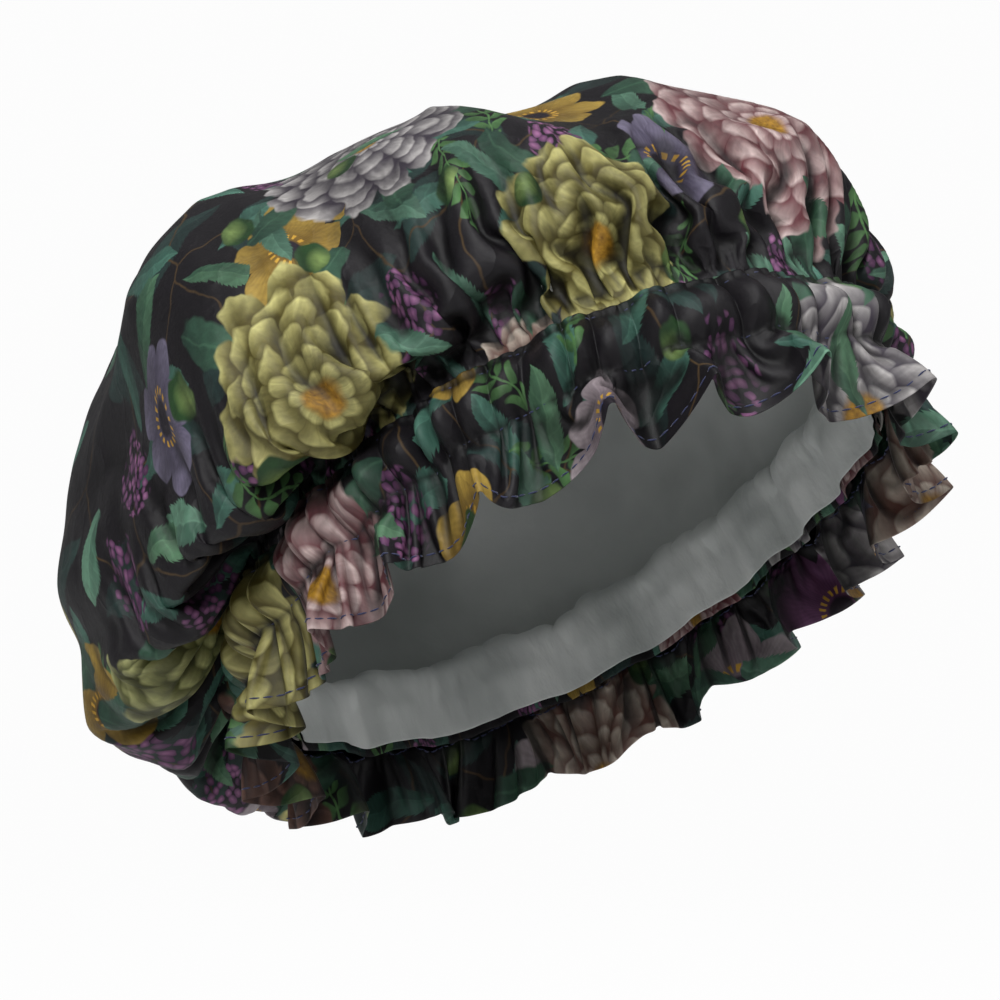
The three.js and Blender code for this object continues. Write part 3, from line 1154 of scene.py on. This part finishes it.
cloth_look = printed_cloth()
strip_points, strip_flat, strip_faces = strip_cloth()
strip_print = strip_flat + STRIP_PRINT_SHIFT
strip_depth = fold_of(strip_points, strip_faces, STRIP_IRONING)
strip = mesh_object("frill_strip", strip_points, strip_faces, strip_print, STRIP_LENGTH, strip_depth)
thicken(strip, CLOTH, 1)
smooth(strip)
finish_piece(strip, "frill_band", cloth_look)
strip_normals = normals_of(strip_points, triangles_of(strip_faces))

settled, disc, disc_faces, disc_counts = crown_cloth()
crown_points, crown_flat, crown_faces = with_run(settled, disc, disc_faces, disc_counts)
crown_depth = fold_of(crown_points, crown_faces, CROWN_IRONING)
crown = mesh_object("crown_cloth", crown_points, crown_faces, crown_flat, fold=crown_depth)
thicken(crown, CLOTH, -1)
smooth(crown)
finish_piece(crown, "crown_panel", cloth_look)

lining_points = inside_of(crown_points, crown_faces)
lining_flat = crown_flat * LINING_CUT
lining = mesh_object("film_lining", lining_points, crown_faces, lining_flat)
thicken(lining, FILM, -1)
smooth(lining)
finish_piece(lining, "crown_lining", film())

# Thread, elastic and bar tack.

SEAM_ROWS = (
    ("upper_casing_seam", UPPER_SEAM),
    ("lower_casing_seam", LOWER_SEAM),
    ("hem_seam", HEM_SEAM),
)

navy = yarn("navy_thread", linear(18, 24, 54), linear(36, 48, 98), 2200.0, 0.6)
for seam, height in SEAM_ROWS:
    stitches = stitch_row(seam + "_stitches", strip_points, strip_normals, height)
    finish_piece(stitches, seam, navy)

white = yarn("white_yarn", linear(200, 197, 190), linear(236, 233, 226), 1800.0, 0.8)
elastic = elastic_loop()
finish_piece(elastic, "elastic_band", white)
tack = bar_tack()
tack.data.materials.append(white)
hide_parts("elastic_join")
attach(tack, "band_back")

# Each sheet as it lies flat.

crown_size, crown_area = cut_of(crown_flat[: disc_counts[0]])
lining_size, lining_area = cut_of(lining_flat[: disc_counts[0]])

# A pale floor, a pale room and soft studio light.

FLOOR_BELOW = 300 * MM
FLOOR_RADIUS = 3.5
SWEEP = 1.2
FLOOR_SIDES = 64
FLOOR_GLOW = 0.97
# Painted shadow: how much white glow the floor loses under the object, and the size and fade of that disc.
SHADOW_SHARE = 0.25
SHADOW_RADIUS = 0.45
SHADOW_FADE = 0.6
FLOOR_GREY = 0.6
FLOOR_ROUGH = 0.8
ROOM_LIGHT = 0.2


def pale_sweep():
    """A round floor that curves up far from the object: near white, with a disc of painted shadow under the
    object, in which its real shadow shows too.
    """
    level = CAD_BOX[0][2] - FLOOR_BELOW
    turns = np.linspace(0, math.pi / 2, 13)
    radii = [FLOOR_RADIUS - SWEEP * (1 - math.sin(turn)) for turn in turns]
    heights = [level + SWEEP * (1 - math.cos(turn)) for turn in turns]
    profile = list(zip(radii, heights))
    points = [(0, 0, level)]
    for radius, height in profile:
        for side in range(FLOOR_SIDES):
            turn = 2 * math.pi * side / FLOOR_SIDES
            points.append((radius * math.cos(turn), radius * math.sin(turn), height))
    ring = [(1 + i, 1 + (i + 1) % FLOOR_SIDES) for i in range(FLOOR_SIDES)]
    faces = [(0, i, j) for i, j in ring]
    for k in range(len(profile) - 1):
        low, high = k * FLOOR_SIDES, (k + 1) * FLOOR_SIDES
        faces += [(i + low, i + high, j + high, j + low) for i, j in ring]
    mesh = bpy.data.meshes.new("floor")
    mesh.from_pydata(points, [], faces)
    mesh.polygons.foreach_set("use_smooth", [True] * len(faces))
    look, tree, surface = shader("pale_floor")
    surface.inputs["Base Color"].default_value = (FLOOR_GREY, FLOOR_GREY, FLOOR_GREY, 1)
    surface.inputs["Roughness"].default_value = FLOOR_ROUGH
    glow = tree.nodes.new("ShaderNodeEmission")
    seen = Field(tree, tree.nodes.new("ShaderNodeLightPath").outputs["Is Camera Ray"])
    x, y, _ = parts_of(Field(tree, tree.nodes.new("ShaderNodeNewGeometry").outputs["Position"]))
    # Painted shadow: a greyer disc under the object, where less glow also lets the floor's real shadow
    # show.
    under = ((x * x + y * y) ** 0.5).below(SHADOW_RADIUS, SHADOW_FADE)
    join = node_of(tree, "ShaderNodeMixShader", {}, {0: seen * (FLOOR_GLOW - SHADOW_SHARE * under)})
    tree.links.new(surface.outputs[0], join.inputs[1])
    tree.links.new(glow.outputs[0], join.inputs[2])
    tree.links.new(join.outputs[0], tree.nodes["Material Output"].inputs["Surface"])
    mesh.materials.append(look)
    piece = bpy.data.objects.new("floor", mesh)
    bpy.context.scene.collection.objects.link(piece)
    return piece


floor = pale_sweep()

world = bpy.data.worlds.new("studio")
bpy.context.scene.world = world
world.use_nodes = True
sky = world.node_tree
rays = sky.nodes.new("ShaderNodeLightPath")
seen = Field(sky, rays.outputs["Is Camera Ray"])
sky_strength = ROOM_LIGHT + (1 - ROOM_LIGHT) * seen
background = sky.nodes["Background"]
background.inputs["Color"].default_value = (1, 1, 1, 1)
sky.links.new(sky_strength.socket, background.inputs["Strength"])


def soft_light(name, place, power, size, glint=True):
    """A lamp that faces the object; without glint it makes no highlight."""
    lamp = bpy.data.lights.new(name, "AREA")
    lamp.energy = power
    lamp.size = size
    light = bpy.data.objects.new(name, lamp)
    light.location = place
    light.visible_glossy = glint
    light.rotation_euler = (-Vector(place)).to_track_quat("-Z", "Y").to_euler()
    bpy.context.scene.collection.objects.link(light)


soft_light("key", (-1.3, -0.9, 1.3), 32, 0.7)
soft_light("fill", (0.7, -1.5, 0.5), 5, 0.8)
soft_light("top", (-0.2, -0.2, 1.8), 11, 0.8)
soft_light("far", (1.2, 1.3, 0.8), 16, 0.9, glint=False)

bpy.context.scene.view_settings.view_transform = "Standard"
